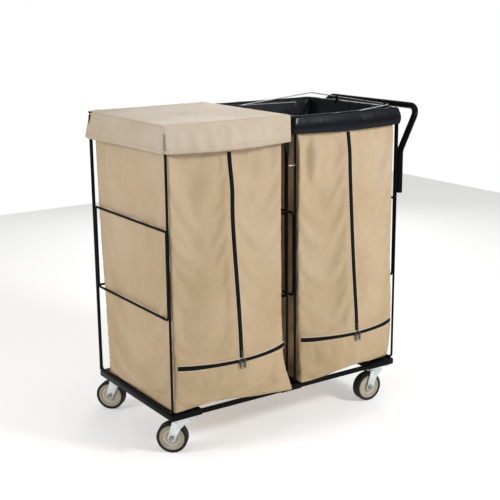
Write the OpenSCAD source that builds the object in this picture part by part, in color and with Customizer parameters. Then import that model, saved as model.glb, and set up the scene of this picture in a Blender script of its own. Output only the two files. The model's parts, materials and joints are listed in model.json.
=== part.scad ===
// Two-bay laundry sorter on four swivel casters: a welded rod frame, two zip-front canvas bags,
// a hinged fabric lid over the left bay, a wire liner retainer over the right bay, a push handle.
// Millimetres. X runs along the front, Y from front to back, Z up. z = 0 is the floor.

/* [Frame] */
// Left bay, centre to centre of its two side hoops
left_bay_w = 444; // [438:1:456]
// Gap between the two middle hoops, centre to centre
bay_gap = 32; // [32:1:40]
// Right bay, centre to centre of its two side hoops
right_bay_w = 434; // [428:1:448]
// Depth of the side hoops, centre to centre of their posts
frame_d = 499; // [480:1:520]
// Height of the rim rods above the floor
rim_z = 1043; // [1030:1:1060]
// Height of the side cross rods
cross_z = 736; // [720:1:750]
// Height of the bottom of the inner side hoops and of the rear cross rod
inner_z = 456; // [440:1:470]
// Diameter of the frame rod
rod_d = 8; // [8:0.2:8.6]
// Bend radius of the frame rod, to its centre line
bend_r = 15; // [14:1:20]

/* [Base] */
// Width of the channels that carry the casters
channel_w = 110; // [104:1:116]
// Width of the middle channel
middle_channel_w = 84; // [76:1:90]
// Height of all three channels
channel_h = 20; // [20:1:24]
// Sheet thickness of the channels
channel_t = 3; // [2.5:0.5:3]
// Side of the square tube of the front and rear rails
rail_s = 12.7; // [12:0.1:14]

/* [Handle] */
// Diameter of the handle tube
handle_d = 22; // [20:1:24]
// How far the grip bar stands out from the handle's upright ends
handle_reach = 78; // [70:1:90]
// Height of the grip bar above the floor
handle_z = 1048; // [1040:1:1056]
// Lean of the handle arms from upright, degrees
handle_lean = 28; // [24:1:32]
// Height of the lower ends of the handle
handle_foot_z = 755; // [746:1:770]

/* [Bags] */
// Thickness of the canvas walls
canvas_t = 2; // [1.6:0.2:2]
// How far the bag fronts bulge forward at the cross zip
bulge = 62; // [50:1:66]
// Height of the cross zip
zip_z = 300; // [290:1:310]
// Height of the bag bottoms
bag_z = 149; // [148:1:152]
// Width of the zip tapes
zip_w = 13; // [10:1:14]

/* [Lid] */
// Depth of the lid skirt
skirt_h = 86; // [80:1:90]
// Diameter of the lid wire
lid_wire_d = 5; // [4:0.5:5]
// Diameter of the liner retainer wire
retainer_wire_d = 4; // [3.5:0.5:4]

/* [Casters] */
// Wheel diameter
wheel_d = 101.6; // [98:0.1:102]
// Tread width
tread_w = 32; // [30:1:34]
// Overall caster height
caster_h = 127; // [126:0.5:130]
// Offset from the swivel axis to the axle
trail = 34; // [30:1:36]

/* [Hidden] */
$fn = 48;
fit_gap = 0.06;      // radial clearance of free-running pins and collars
weld_gap = 0.2;      // clearance between parts that are welded or bolted side by side
rod_r = rod_d / 2;

// The origin is on the floor below the middle of the overall footprint.
origin_x = 496.6;
origin_y = 235.3;

// Hoop planes along X
hoop_x = [0, left_bay_w, left_bay_w + bay_gap, left_bay_w + bay_gap + right_bay_w];
frame_w = hoop_x[3];
channel_z = caster_h;                       // underside of the channels
channel_top = channel_z + channel_h;
hoop_foot_z = channel_top + weld_gap + rod_r;
rear_hoop_y = frame_d + rod_d + weld_gap;
leg_set = rod_d + weld_gap;                 // inner hoop legs stand this far inside the posts
rim_set = 6;                                // rim rods lie this far inside the hoops' posts
rim_rod_z = rim_z - bend_r + sqrt(bend_r * bend_r - pow(bend_r - rim_set, 2));

// Bag: left and right faces of each bay, and the line of the front panel
bag_side = 7;
bag_x = [[bag_side, left_bay_w - bag_side - 1], [hoop_x[2] + bag_side + 1, frame_w - bag_side]];
bag_front_top = rim_set + rod_r + 0.6;
bag_back_top = frame_d - bag_front_top;
bag_back_low = frame_d - 44;
front_knee_z = 963;                         // where the front panel starts to lean forward
front_toe_y = -35;                          // front edge of the bag's bottom
rim_over_z = rim_z + rod_r + 0.5;           // underside of the canvas over the rim rods
bag_top = rim_over_z + canvas_t;
cuff_gap = 0.5;
cuff_drop = 36;                             // depth of the canvas cuff outside the rim
liner_t = 1;
liner_gap = 0.4;
liner_drop = 52;                            // depth of the liner's cuff
liner_top = rim_over_z + canvas_t + liner_gap + liner_t;

slider_z = zip_z + 22;                      // the upright slider's lower end at rest
cross_half = 30.5;                          // half of the cross zip, degrees about the front's centre
spacer_z = 895;
zip_top = [front_knee_z - 3, front_knee_z]; // upper ends of the two upright zips
short_leg_z = cross_z - rod_r - weld_gap;   // legs that end under the cross rod
long_leg_z = rim_z - bend_r - 6;            // legs that run up to the rim
zip_gap = 0.3;
tape_t = 0.8;

lid_z = liner_top + 3.4;                    // centre line of the lid wire
lid_r = lid_wire_d / 2;
lid_t = 2;
lid_x = [-10.6, left_bay_w + 10.6];
lid_y = [-9, frame_d + 14.5];
lid_wire_x = [lid_x[0] + lid_t + lid_r + 0.4, lid_x[1] - lid_t - lid_r - 0.4];
lid_wire_y = [lid_y[0] + lid_t + lid_r + 0.4, rear_hoop_y];
skirt_back_y = frame_d + 3;                 // the side skirts end in front of the hinge rod
lid_clip_x = [90, left_bay_w - 90];
lid_clip_w = 16;
lid_top = lid_z + lid_r + 0.3 + lid_t;

retainer_r = retainer_wire_d / 2;
retainer_x = frame_w - 5;
retainer_z = liner_top + 6.4;
retainer_y = [39, frame_d - 19];
retainer_rise = 1.27;                       // its hinge bar rises towards the back, degrees
retainer_arm = 328;
retainer_tilt = 4.9;
retainer_clip_y = [52, 318];

wheel_r = wheel_d / 2;
core_r = 42;
axle_r = 6;
kingpin_r = 6;
fork_half = tread_w / 2 + 4.5;              // half the outer width of the fork
plate_t = 3;
swivel_r = 27;
fork_t = 3;
fork_top_z = caster_h - plate_t - 13;
swivel_inset = [53, 30.5];
// Swivel places and the direction that each wheel trails in at rest, degrees
casters = [
    [swivel_inset[0], swivel_inset[1], 138.1],
    [swivel_inset[0], frame_d - swivel_inset[1], 132.1],
    [frame_w - swivel_inset[0], swivel_inset[1], 176.1],
    [frame_w - swivel_inset[0], frame_d - swivel_inset[1], 160]
];
bolt_span = [74, 46];                       // hole spacing of the caster top plates
bolt_r = 4;
channel_lip = 27;

black = [0.06, 0.06, 0.07];
tan_cloth = [0.80, 0.71, 0.55];
vinyl = [0.09, 0.10, 0.13];
zinc = [0.74, 0.76, 0.76];

// ---- helpers ----

module place() translate([-origin_x, -origin_y, 0]) children();

module along_x(len, r) rotate([0, 90, 0]) cylinder(h = len, r = r);
module along_y(len, r) rotate([-90, 0, 0]) cylinder(h = len, r = r);

// Quarter of a bent rod in the XY plane, from +X round to +Y
module quarter(bend, r) rotate_extrude(angle = 90) translate([bend, 0]) circle(r = r);

// Rod bent to a U in the XY plane: open at +Y, with its bottom along y = 0
module rod_u(w, h, bend, r) {
    translate([bend, 0, 0]) along_x(w - 2 * bend, r);
    for (s = [0, 1]) {
        translate([s * w, bend, 0]) along_y(h - bend, r);
        translate([s * w + (1 - 2 * s) * bend, bend, 0]) rotate([0, 0, 180 + 90 * s]) quarter(bend, r);
    }
}

// Rod bent to a closed rectangle in the XY plane, lowest corner at the origin
module rod_loop(w, h, bend, r) {
    rod_u(w, h / 2, bend, r);
    translate([w, h, 0]) rotate([0, 0, 180]) rod_u(w, h / 2, bend, r);
}

// Stand a shape drawn in the XY plane up into the YZ plane or into the XZ plane
module in_yz(x) translate([x, 0, 0]) rotate([90, 0, 90]) children();
module in_xz(y) translate([0, y, 0]) rotate([90, 0, 0]) children();

// ---- frame ----

// Box-section channel with closed ends and a slot along its underside between two lips
module channel(x, w) color(black) place() translate([x, -4, channel_z]) difference() {
    cube([w, frame_d + 8, channel_h]);
    translate([channel_t, channel_t, channel_t])
        cube([w - 2 * channel_t, frame_d + 8 - 2 * channel_t, channel_h - 2 * channel_t]);
    translate([channel_lip, channel_t, -1])
        cube([w - 2 * channel_lip, frame_d + 8 - 2 * channel_t, channel_t + 2]);
}

module channel_holes() for (c = casters, sx = [-1, 1], sy = [-1, 1])
    place() translate([c[0] + sx * bolt_span[0] / 2, c[1] + sy * bolt_span[1] / 2, channel_z - 1])
        cylinder(h = channel_t + 2, r = bolt_r + 0.3);

module base_channel_left() difference() {
    channel(-5, channel_w);
    channel_holes();
}

module base_channel_right() difference() {
    channel(frame_w + 5 - channel_w, channel_w);
    channel_holes();
}

middle_x = left_bay_w + bay_gap / 2 - middle_channel_w / 2;

module base_channel_middle() channel(middle_x, middle_channel_w);

// A rail is one tube on each side of the middle channel
module rail(y) color(black) place() for (span = [
        [-5 + channel_w, middle_x],
        [middle_x + middle_channel_w, frame_w + 5 - channel_w]])
    translate([span[0] + weld_gap, y, channel_z + 3]) difference() {
        cube([span[1] - span[0] - 2 * weld_gap, rail_s, rail_s]);
        translate([-1, 1.5, 1.5]) cube([span[1] - span[0] + 2, rail_s - 3, rail_s - 3]);
    }

module base_rail_front() rail(-4);
module base_rail_rear() rail(frame_d + 4 - rail_s);

module side_hoop(i) color(black) place() in_yz(hoop_x[i])
    translate([0, hoop_foot_z, 0]) rod_loop(frame_d, rim_z - hoop_foot_z, bend_r, rod_r);

// The rear hoop stands behind the side hoops and carries the lid's hinge
module rear_hoop() color(black) place() in_xz(rear_hoop_y)
    translate([frame_w, rim_z, 0]) rotate([0, 0, 180])
        rod_u(frame_w, rim_z - channel_top - weld_gap, bend_r, rod_r);

module rear_cross_rod() color(black) place()
    translate([rod_r + weld_gap, rear_hoop_y, inner_z]) along_x(frame_w - rod_d - 2 * weld_gap, rod_r);

bays = [[hoop_x[0], hoop_x[1]], [hoop_x[2], hoop_x[3]]];

// Rim rods meet the hoops on the round of their top corners
module rim_rods() color(black) place() for (b = bays, y = [rim_set, frame_d - rim_set])
    translate([b[0] + rod_r + weld_gap, y, rim_rod_z])
        along_x(b[1] - b[0] - rod_d - 2 * weld_gap, rod_r);

module side_cross_rods() color(black) place() for (x = hoop_x)
    translate([x, leg_set + rod_r + weld_gap, cross_z])
        along_y(frame_d - 2 * (leg_set + rod_r + weld_gap), rod_r);

// Inner hoops hang inside the side hoops; top is the height of their legs' upper ends
module inner_hoop(i, top) color(black) place() in_yz(hoop_x[i])
    translate([leg_set, inner_z, 0]) rod_u(frame_d - 2 * leg_set, top - inner_z, bend_r, rod_r);

// Bolts with a nut that tie the two middle hoops together, front and rear
module spacer_bolts() color(zinc) place() for (y = [0, frame_d])
    translate([hoop_x[1] + rod_r + weld_gap, y, spacer_z]) {
        along_x(bay_gap - rod_d - 2 * weld_gap, 2.5);
        translate([bay_gap - rod_d - 2 * weld_gap - 5, 0, 0]) rotate([0, 90, 0])
            cylinder(h = 5, r = 5, $fn = 6);
    }

// ---- push handle ----

handle_r = handle_d / 2;
handle_x = frame_w + rod_r + handle_r + weld_gap;
handle_low_bend = 45;
handle_top_bend = 38;
arm_len = (handle_reach - handle_low_bend * (1 - cos(handle_lean))) / sin(handle_lean);
handle_knee_z = handle_z - handle_low_bend * sin(handle_lean) - arm_len * cos(handle_lean);

// The straight tubes stop short of the low bends by seam, and a thin sleeve closes each seam.
module push_handle() color(black) place() difference() {
    seam = 0.5;
    sleeve_r = handle_r + 0.06;
    union() {
        for (y = [0, frame_d]) translate([handle_x, y, 0]) {
            translate([0, 0, handle_foot_z]) cylinder(h = handle_knee_z - seam - handle_foot_z, r = handle_r);
            translate([0, 0, handle_knee_z - 2]) cylinder(h = 3, r = sleeve_r);
            translate([handle_low_bend, 0, handle_knee_z]) rotate([90, 0, 0])
                rotate([0, 0, 180 - handle_lean]) rotate_extrude(angle = handle_lean)
                    translate([handle_low_bend, 0]) circle(r = handle_r);
        }
        translate([handle_x + handle_low_bend * (1 - cos(handle_lean)), 0,
                handle_knee_z + handle_low_bend * sin(handle_lean)]) rotate([0, handle_lean, 0]) {
            translate([0, 0, arm_len]) rotate([90, 0, 90]) rotate([180, 0, 0])
                rod_u(frame_d, arm_len - seam, handle_top_bend, handle_r);
            for (y = [0, frame_d]) translate([0, y, -1]) cylinder(h = 3, r = sleeve_r);
        }
    }
    for (y = [0, frame_d]) translate([handle_x, y, handle_foot_z - 1]) cylinder(h = 60, r = handle_r - 1.6);
}

// ---- casters ----

module at_swivel(i) place() translate([casters[i][0], casters[i][1], 0]) children();
module trailing(i) at_swivel(i) rotate([0, 0, casters[i][2]]) children();
module at_axle(i) trailing(i) translate([trail, 0, wheel_r]) rotate([90, 0, 0]) children();

module caster_fasteners() for (i = [0:3], sx = [-1, 1], sy = [-1, 1])
    color(zinc) at_swivel(i) translate([sx * bolt_span[0] / 2, sy * bolt_span[1] / 2, 0]) {
        translate([0, 0, caster_h - plate_t - 5]) cylinder(h = 4.9, r = 6.5, $fn = 6);
        translate([0, 0, caster_h - plate_t - 0.2]) cylinder(h = plate_t + channel_t + 8, r = bolt_r);
        translate([0, 0, caster_h + channel_t + 0.1]) cylinder(h = 5, r = 6.5, $fn = 6);
    }

module kingpins() for (i = [0:3]) color(zinc) at_swivel(i) {
    translate([0, 0, fork_top_z - 8]) cylinder(h = 5, r = 11);
    translate([0, 0, fork_top_z - 8]) cylinder(h = caster_h - fork_top_z + 8, r = kingpin_r);
}

module caster_plate(i) color(zinc) at_swivel(i) difference() {
    union() {
        translate([-47.5, -33.5, caster_h - plate_t]) cube([95, 67, plate_t]);
        translate([0, 0, fork_top_z + 7]) cylinder(h = 6.5, r = swivel_r);
    }
    translate([0, 0, fork_top_z]) cylinder(h = 20, r = kingpin_r + fit_gap);
    for (sx = [-1, 1], sy = [-1, 1])
        translate([sx * bolt_span[0] / 2, sy * bolt_span[1] / 2, caster_h - plate_t - 1])
            cylinder(h = plate_t + 2, r = bolt_r + 0.3);
}

module fork(i) color(zinc) difference() {
    union() {
        trailing(i) translate([0, 0, fork_top_z - fork_t]) cylinder(h = 9.4, r = swivel_r - 1);
        trailing(i) translate([-20, -fork_half, fork_top_z - fork_t]) cube([50, 2 * fork_half, fork_t]);
        for (s = [-1, 1]) {
            trailing(i) translate([0, s > 0 ? fork_half : fork_t - fork_half, 0]) rotate([90, 0, 0])
                linear_extrude(fork_t) polygon([[-20, fork_top_z], [30, fork_top_z],
                    [trail + 11.5, wheel_r + 4], [trail + 4, wheel_r - 11],
                    [trail - 11, wheel_r - 5], [4, fork_top_z - 26]]);
            at_axle(i) translate([0, 0, s > 0 ? fork_half - fork_t : -fork_half])
                cylinder(h = fork_t, r = 12);
        }
    }
    at_swivel(i) translate([0, 0, fork_top_z - 6]) cylinder(h = 20, r = kingpin_r + fit_gap);
    at_axle(i) translate([0, 0, -40]) cylinder(h = 80, r = axle_r + fit_gap);
}

// Axle bolt with its nut
module axle(i) color(zinc) at_axle(i) {
    translate([0, 0, -fork_half - 0.2]) cylinder(h = 2 * fork_half + 9, r = axle_r);
    translate([0, 0, -fork_half - 5.2]) cylinder(h = 5, r = 9.5, $fn = 6);
    translate([0, 0, fork_half + 0.3]) difference() {
        cylinder(h = 6, r = 9.5, $fn = 6);
        translate([0, 0, -1]) cylinder(h = 8, r = axle_r + 0.05);
    }
}

module wheel_core(i) color([0.66, 0.63, 0.57]) at_axle(i) rotate_extrude() polygon([
    [axle_r + fit_gap, -17], [13, -17], [14, -15], [14, -11.5], [20, -11.5], [21, -12.5], [27, -12.5],
    [28, -11.5], [33, -11.5], [35, -14], [core_r, -14], [core_r, 14], [35, 14], [33, 11.5], [28, 11.5],
    [27, 12.5], [21, 12.5], [20, 11.5], [14, 11.5], [14, 15], [13, 17], [axle_r + fit_gap, 17]]);

module tyre(i) color(black) at_axle(i) rotate_extrude() {
    translate([core_r + 0.05, -13]) square([wheel_r - core_r - 0.05, 26]);
    translate([core_r + 0.05, -tread_w / 2]) square([wheel_r - core_r - 3.05, tread_w]);
    for (s = [-1, 1]) translate([wheel_r - 3, s * (tread_w / 2 - 3)]) circle(r = 3);
}

// ---- bags and liners ----

// The front of a bag is an arc in plan that starts a little outside the bag's side faces.
arc_over = 1;
function bag_mid(b) = (bag_x[b][0] + bag_x[b][1]) / 2;
function bag_half(b) = (bag_x[b][1] - bag_x[b][0]) / 2 + arc_over;
function bag_arc_r(b) = (pow(bag_half(b), 2) + bulge * bulge) / (2 * bulge);

// Solid shape of a bag, inset by e: straight sides, a front that is round in plan and leans in profile
module bag_form(b, e) {
    x0 = bag_x[b][0];
    x1 = bag_x[b][1];
    arc_r = bag_arc_r(b);
    lean_e = 1.01 * e;                      // the inset measured along Y on the leaning front
    intersection() {
        translate([bag_mid(b), arc_r - bulge, 0]) cylinder(h = 1200, r = arc_r - e, $fn = 192);
        translate([x0 + e, 0, 0]) rotate([90, 0, 90]) linear_extrude(x1 - x0 - 2 * e) polygon([
            [front_toe_y + lean_e, bag_z + e], [-bulge - 1.1 + lean_e, zip_z - 15],
            [front_y(zip_z - 12) + lean_e, zip_z - 12], [lean_e, front_knee_z],
            [bag_front_top + e, rim_z - 18], [bag_front_top + e, bag_top + 2 * e],
            [bag_back_top - e, bag_top + 2 * e], [bag_back_top - e, rim_z - 18],
            [bag_back_low - e, bag_z + e]]);
    }
}

// Ring that folds over the rim rods of a bay: from its inner faces to its outer faces
module rim_ring(b, inner, t, top, drop) difference() {
    ring_box(b, inner + t, top, drop);
    translate([0, 0, -t]) ring_box(b, inner, top, drop);
}

module ring_box(b, out, top, drop)
    translate([bays[b][0] - out, rim_set - out, top - drop])
        cube([bays[b][1] - bays[b][0] + 2 * out, frame_d - 2 * rim_set + 2 * out, drop]);

// A shell with its cuff; e is how far it lies inside the bag's outer shape
module shell(b, e, t, inner, top, drop) place() difference() {
    union() {
        intersection() {
            bag_form(b, e);
            translate([-100, -200, 0]) cube([1300, 1000, top]);
        }
        rim_ring(b, inner, t, top, drop);
    }
    bag_form(b, e + t);
    // notches for the hoops' corners, front and rear
    for (x = bays[b], y = [-17, frame_d - 13]) translate([x - rod_r - 0.5, y, 0])
        cube([rod_d + 1, 30, top - t]);
}

module bag(b) color(tan_cloth) shell(b, 0, canvas_t, rod_r + cuff_gap, bag_top, cuff_drop);

module liner(b) color(vinyl)
    shell(b, canvas_t + liner_gap, liner_t, rod_r + cuff_gap + canvas_t + liner_gap, liner_top, liner_drop);

// ---- zips ----

function front_y(z) = -bulge * (front_knee_z - z) / (front_knee_z - zip_z);

// Strip that follows the leaning front from z0 to z1, standing proud from a to c
module front_strip(x, w, z0, z1, a, c) translate([x - w / 2, 0, 0]) rotate([90, 0, 90]) linear_extrude(w)
    polygon([[front_y(z0) - a, z0], [front_y(z0) - c, z0], [front_y(z1) - c, z1], [front_y(z1) - a, z1]]);

module zip_tape(b, top) color(black) place()
    front_strip(bag_mid(b), zip_w, zip_z + zip_w / 2 + 1, top, zip_gap, zip_gap + tape_t);

// Part of a ring about the bag front's centre, from angle a0 to a1 off the middle
module front_arc(b, a0, a1, z0, h, a, c) translate([bag_mid(b), bag_arc_r(b) - bulge, z0])
    rotate([0, 0, 270 + a0]) rotate_extrude(angle = a1 - a0, $fn = 192)
        translate([bag_arc_r(b) + a, 0]) square([c - a, h]);

module cross_zip_tape(b) color(black) place()
    front_arc(b, -cross_half, cross_half, zip_z - zip_w / 2, zip_w, zip_gap, zip_gap + tape_t);

// Upright slider: a body on the tape, a bridge and a pull tab that hangs from it
module zip_slider(b) color(zinc) place() {
    out = zip_gap + tape_t + 0.4;
    front_strip(bag_mid(b), 8, slider_z, slider_z + 13, out, out + 3.4);
    front_strip(bag_mid(b), 2.4, slider_z + 2, slider_z + 11, out + 3, out + 5);
    difference() {
        front_strip(bag_mid(b), 6, slider_z - 14, slider_z + 6, out + 5.2, out + 6.4);
        front_strip(bag_mid(b), 2.8, slider_z - 11, slider_z - 5, out + 4, out + 8);
    }
}

// Cross slider, on the side s of the middle
module cross_slider(b, s) color(zinc) place() {
    out = zip_gap + tape_t + 0.4;
    a0 = s > 0 ? 0.25 : -2.05;
    front_arc(b, a0, a0 + 1.8, zip_z - 4, 8, out, out + 3.4);
    front_arc(b, a0 + 0.2, a0 + 1.6, zip_z - 1.2, 2.4, out + 3, out + 5);
    front_arc(b, a0 + 0.5, a0 + 1.3, zip_z - 22, 24, out + 5.2, out + 6.4);
}

// ---- lid ----

module lid_frame() color(black) place() translate([lid_wire_x[0], lid_wire_y[0], lid_z])
    rod_loop(lid_wire_x[1] - lid_wire_x[0], lid_wire_y[1] - lid_wire_y[0], 12, lid_r);

// Cloth over the wire: a top and three skirts, open along the hinge
module lid_cover() color(tan_cloth) place() difference() {
    translate([lid_x[0], lid_y[0], lid_top - skirt_h])
        cube([lid_x[1] - lid_x[0], lid_y[1] - lid_y[0], skirt_h]);
    translate([lid_x[0] + lid_t, lid_y[0] + lid_t, lid_top - skirt_h - 1])
        cube([lid_x[1] - lid_x[0] - 2 * lid_t, lid_y[1], skirt_h + 1 - lid_t]);
    translate([lid_x[0] - 1, skirt_back_y, lid_top - skirt_h - 1])
        cube([lid_x[1] - lid_x[0] + 2, 60, skirt_h + 1 - lid_t]);
    // notches in the rear hem for the hinge clips
    for (x = lid_clip_x) translate([x - lid_clip_w / 2 - 1, rear_hoop_y - 6, lid_top - 10])
        cube([lid_clip_w + 2, 30, 20]);
}

// Collars that turn on the rear hoop's top rod and hold the lid's rear wire
module lid_hinge_clips() color(black) place() for (x = lid_clip_x)
    translate([x - lid_clip_w / 2, rear_hoop_y, rim_z]) rotate([90, 0, 90]) difference() {
        linear_extrude(lid_clip_w) {
            circle(r = rod_r + 1.8);
            translate([0, lid_z - rim_z]) circle(r = lid_r + 1.7);
            translate([-2, 0]) square([4, lid_z - rim_z]);
        }
        translate([0, 0, -1]) cylinder(h = lid_clip_w + 2, r = rod_r + fit_gap);
        translate([0, lid_z - rim_z, -1]) cylinder(h = lid_clip_w + 2, r = lid_r + fit_gap);
    }

// ---- liner retainer ----

module in_retainer() place() translate([retainer_x, retainer_y[0], retainer_z])
    rotate([retainer_rise, 0, 0]) children();

// One half of the retainer, from the middle of its hinge bar to the end of its arm. The rear
// half's wire folds back sharply there, and its end is bent down; small beads fill the folds.
module retainer_half(len, hooked) {
    fold = 36.6;
    back_len = 205;
    bead_r = retainer_r + 0.4;
    translate([0, len / 2, 0]) along_y(len / 2 - 10, retainer_r);
    translate([-10, len - 10, 0]) quarter(10, retainer_r);
    translate([-retainer_arm, len, 0]) {
        along_x(retainer_arm - 10, retainer_r);
        sphere(r = bead_r);
        if (hooked) rotate([0, 0, -fold]) {
            along_x(back_len, retainer_r);
            translate([back_len, 0, 0]) sphere(r = bead_r);
            translate([back_len, 0, -12]) cylinder(h = 12, r = retainer_r);
        }
    }
}

module liner_retainer() color([0.55, 0.56, 0.55]) in_retainer() rotate([0, -retainer_tilt, 0]) {
    len = retainer_y[1] - retainer_y[0];
    retainer_half(len, true);
    translate([0, len, 0]) mirror([0, 1, 0]) retainer_half(len, false);
}

// Saddles that clip over the right rim and carry the retainer's hinge bar
module retainer_clips() color(black) for (y = retainer_clip_y) {
    in_retainer() translate([0, y - retainer_y[0], 0]) difference() {
        along_y(12, retainer_r + 1.6);
        translate([0, -1, 0]) along_y(14, retainer_r + fit_gap);
    }
    place() {
        saddle_in = frame_w - bag_side - canvas_t - liner_gap - liner_t - 0.5;
        saddle_out = frame_w + rod_r + cuff_gap + canvas_t + liner_gap + liner_t + 0.4;
        translate([saddle_in - 1.5, y, liner_top + 0.5]) cube([saddle_out - saddle_in + 3, 12, 1.5]);
        for (x = [saddle_in - 1.5, saddle_out]) translate([x, y, liner_top - 28]) cube([1.5, 12, 29]);
        translate([retainer_x - 1.5, y, liner_top + 1])
            cube([3, 12, (y - retainer_y[0]) * tan(retainer_rise) + retainer_z - liner_top - 3.4]);
    }
}

base_channel_left();
base_channel_right();
base_channel_middle();
base_rail_front();
base_rail_rear();
side_hoop(0);  // side_hoop_left
side_hoop(1);  // side_hoop_middle_left
side_hoop(2);  // side_hoop_middle_right
side_hoop(3);  // side_hoop_right
rear_hoop();
rear_cross_rod();
rim_rods();
side_cross_rods();
inner_hoop(0, short_leg_z);  // inner_hoop_left
inner_hoop(1, long_leg_z);  // inner_hoop_middle_left
inner_hoop(2, short_leg_z);  // inner_hoop_middle_right
inner_hoop(3, long_leg_z);  // inner_hoop_right
spacer_bolts();
push_handle();
caster_fasteners();
kingpins();
bag(0);  // bag_left
bag(1);  // bag_right
liner(0);  // liner_left
liner(1);  // liner_right
zip_tape(0, zip_top[0]);  // zip_tape_left
zip_tape(1, zip_top[1]);  // zip_tape_right
cross_zip_tape(0);  // cross_zip_tape_left
cross_zip_tape(1);  // cross_zip_tape_right
zip_slider(0);  // zip_slider_left
zip_slider(1);  // zip_slider_right
cross_slider(0, -1);  // cross_slider_left_a
cross_slider(0, 1);  // cross_slider_left_b
cross_slider(1, -1);  // cross_slider_right_a
cross_slider(1, 1);  // cross_slider_right_b
lid_frame();
lid_cover();
lid_hinge_clips();
liner_retainer();
retainer_clips();
caster_plate(0);  // caster_plate_1
caster_plate(1);  // caster_plate_2
caster_plate(2);  // caster_plate_3
caster_plate(3);  // caster_plate_4
fork(0);  // fork_1
fork(1);  // fork_2
fork(2);  // fork_3
fork(3);  // fork_4
axle(0);  // axle_1
axle(1);  // axle_2
axle(2);  // axle_3
axle(3);  // axle_4
wheel_core(0);  // wheel_core_1
wheel_core(1);  // wheel_core_2
wheel_core(2);  // wheel_core_3
wheel_core(3);  // wheel_core_4
tyre(0);  // tyre_1
tyre(1);  // tyre_2
tyre(2);  // tyre_3
tyre(3);  // tyre_4
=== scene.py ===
import bpy
import json
import math
from mathutils import Matrix, Vector, noise


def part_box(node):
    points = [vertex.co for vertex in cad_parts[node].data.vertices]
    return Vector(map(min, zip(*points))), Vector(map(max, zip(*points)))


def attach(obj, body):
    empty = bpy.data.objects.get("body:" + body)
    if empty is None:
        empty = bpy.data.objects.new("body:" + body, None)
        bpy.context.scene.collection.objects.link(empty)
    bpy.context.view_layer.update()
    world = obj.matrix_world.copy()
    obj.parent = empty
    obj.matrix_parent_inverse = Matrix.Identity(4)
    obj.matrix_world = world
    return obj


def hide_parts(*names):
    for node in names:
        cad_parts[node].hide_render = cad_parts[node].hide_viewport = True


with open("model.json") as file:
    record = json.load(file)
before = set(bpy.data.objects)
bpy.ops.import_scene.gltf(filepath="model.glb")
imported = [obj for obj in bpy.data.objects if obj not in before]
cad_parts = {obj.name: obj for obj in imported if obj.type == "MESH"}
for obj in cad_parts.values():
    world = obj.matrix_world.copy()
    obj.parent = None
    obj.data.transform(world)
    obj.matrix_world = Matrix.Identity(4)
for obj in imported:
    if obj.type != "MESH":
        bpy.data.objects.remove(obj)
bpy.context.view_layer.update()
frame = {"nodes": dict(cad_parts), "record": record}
bpy.ops.object.select_all(action="DESELECT")
print("frame loaded:", len(frame["nodes"]), "nodes")

# Places on the cart are in millimetres from the front left post, at floor height.
mm = 0.001
rodRadius = 4.0
hoopLow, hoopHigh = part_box("side_hoop_left")
postX = (hoopLow.x + hoopHigh.x) / 2
postY = hoopLow.y + rodRadius * mm
frameDepth = (hoopHigh.y - hoopLow.y) / mm - 2 * rodRadius


def cart(x, y, z):
    return Vector((postX + x * mm, postY + y * mm, z * mm))


def deselect():
    if bpy.context.object and bpy.context.object.mode != "OBJECT":
        bpy.ops.object.mode_set(mode="OBJECT")
    bpy.ops.object.select_all(action="DESELECT")


def activate(piece):
    deselect()
    bpy.context.view_layer.objects.active = piece
    piece.select_set(True)


def mix(a, b, t):
    return a + (b - a) * t


def ease(t):
    t = min(max(t, 0.0), 1.0)
    return t * t * (3 - 2 * t)


def along(stops, z):
    # reads a smooth value from (z, value) stops that run upwards
    if z <= stops[0][0]:
        return stops[0][1]
    for (z0, v0), (z1, v1) in zip(stops, stops[1:]):
        if z <= z1:
            return mix(v0, v1, ease((z - z0) / (z1 - z0)))
    return stops[-1][1]


cameraSettings = {
    "place": (-1478.3, -2642.3, 1429.0),
    "lens": 74.25, "sensor": 36,
    "yaw": 33.914, "down": 13.930, "roll": -0.517,
}


def makeCamera():
    data = bpy.data.cameras.new("camera")
    data.lens = cameraSettings["lens"]
    data.sensor_width = cameraSettings["sensor"]
    camera = bpy.data.objects.new("camera", data)
    bpy.context.scene.collection.objects.link(camera)
    yaw = math.radians(cameraSettings["yaw"])
    down = math.radians(cameraSettings["down"])
    roll = math.radians(cameraSettings["roll"])
    look = Vector((math.sin(yaw) * math.cos(down), math.cos(yaw) * math.cos(down), -math.sin(down)))
    right = Vector((math.cos(yaw), -math.sin(yaw), 0))
    up = Vector((math.sin(yaw) * math.sin(down), math.cos(yaw) * math.sin(down), math.cos(down)))
    turnedRight = right * math.cos(roll) + up * math.sin(roll)
    turnedUp = up * math.cos(roll) - right * math.sin(roll)
    camera.matrix_world = Matrix.Translation(cart(*cameraSettings["place"])) @ Matrix(
        (turnedRight, turnedUp, -look)).transposed().to_4x4()
    data.clip_end = 30
    bpy.context.scene.camera = camera


studioSettings = {
    "lights": [
        # name, place in metres from the cart's middle, size, watts
        ("key", (1.5, -2.8, 2.4), 0.7, 74),
        ("side", (-3.0, 0.2, 1.9), 0.9, 32),
        ("top", (0.1, 0.0, 3.4), 1.4, 12),
        ("rear", (1.8, 2.6, 1.6), 1.6, 22),
    ],
    "aim": (0, 0, 0.6),
    "soft": (1.0, 0.985, 0.97, 1), "softStrength": 0.40,
    "floor": 7.4, "floorColour": (0.80, 0.80, 0.80, 1), "floorGlow": 0.34,
}


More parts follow.
